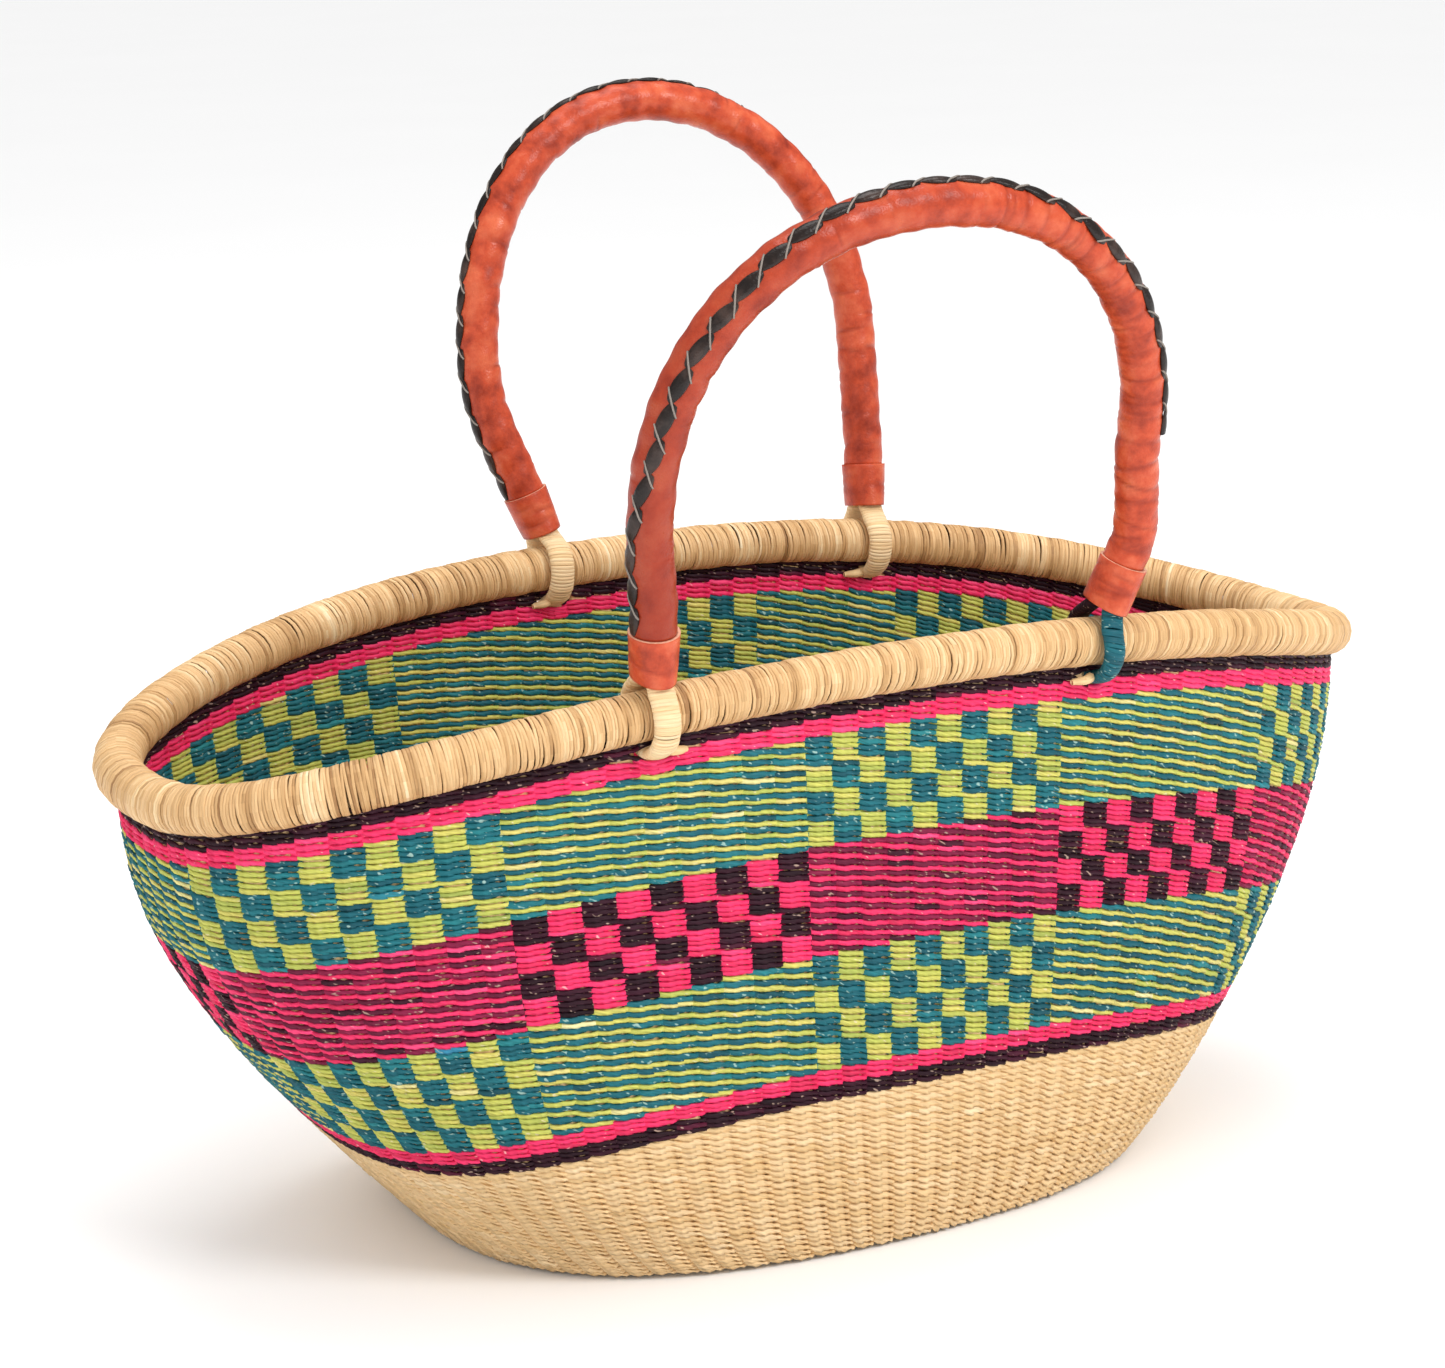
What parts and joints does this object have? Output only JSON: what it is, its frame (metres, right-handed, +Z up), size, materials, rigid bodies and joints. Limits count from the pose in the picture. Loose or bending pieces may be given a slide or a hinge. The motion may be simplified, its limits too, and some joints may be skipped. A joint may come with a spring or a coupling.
{
  "type": "woven market basket",
  "caption": "Oval twined straw shopping basket with coloured check bands, a wound rim and two arched leather-covered handles that tilt on the rim.",
  "frame": {"origin": "middle of the floor's underside, on the surface the basket stands on", "axes": "+X along the basket's length, -Y towards its front, +Z up out of its mouth"},
  "size_m": [0.5182, 0.3186, 0.4145],
  "materials": {
    "natural_straw": "natural elephant grass, satin",
    "black_straw": "dyed grass, aubergine black",
    "pink_straw": "dyed grass, hot pink",
    "green_teal_straw": "dyed grass, yellow-green and teal checks",
    "pink_black_straw": "dyed grass, pink and black checks",
    "teal_straw": "dyed grass, deep teal",
    "handle_leather": "terracotta goatskin, semi-gloss",
    "lacing_leather": "dark leather lacing"
  },
  "bodies": {
    "basket": {"woven_floor": "natural_straw", "natural_wall": "natural_straw", "lower_black_rows": "black_straw", "lower_pink_rows": "pink_straw", "lower_check_band": "green_teal_straw", "middle_check_band": "pink_black_straw", "upper_check_band": "green_teal_straw", "upper_pink_rows": "pink_straw", "upper_black_rows": "black_straw", "rim_core": "natural_straw", "rim_winding": "natural_straw"},
    "front_handle": {"front_handle_core": "natural_straw", "front_leather_sleeve": "handle_leather", "front_lacing_strip": "lacing_leather", "front_left_cuff": "handle_leather", "front_left_loop": "natural_straw", "front_right_cuff": "handle_leather", "front_right_loop": "teal_straw"},
    "back_handle": {"back_handle_core": "natural_straw", "back_leather_sleeve": "handle_leather", "back_lacing_strip": "lacing_leather", "back_left_cuff": "handle_leather", "back_left_loop": "natural_straw", "back_right_cuff": "handle_leather", "back_right_loop": "natural_straw"}
  },
  "joints": [
    {"name": "front_handle_tilt", "type": "hinge", "parent": "basket", "child": "front_handle", "pos_m": [-0.009, -0.1135, 0.21794], "axis": [0.9999, -0.0097, 0.0086], "range_deg": [-48, 90]},
    {"name": "back_handle_tilt", "type": "hinge", "parent": "basket", "child": "back_handle", "pos_m": [0.044, 0.11365, 0.21832], "axis": [-0.9982, 0.0436, 0.04], "range_deg": [-43, 95]}
  ]
}
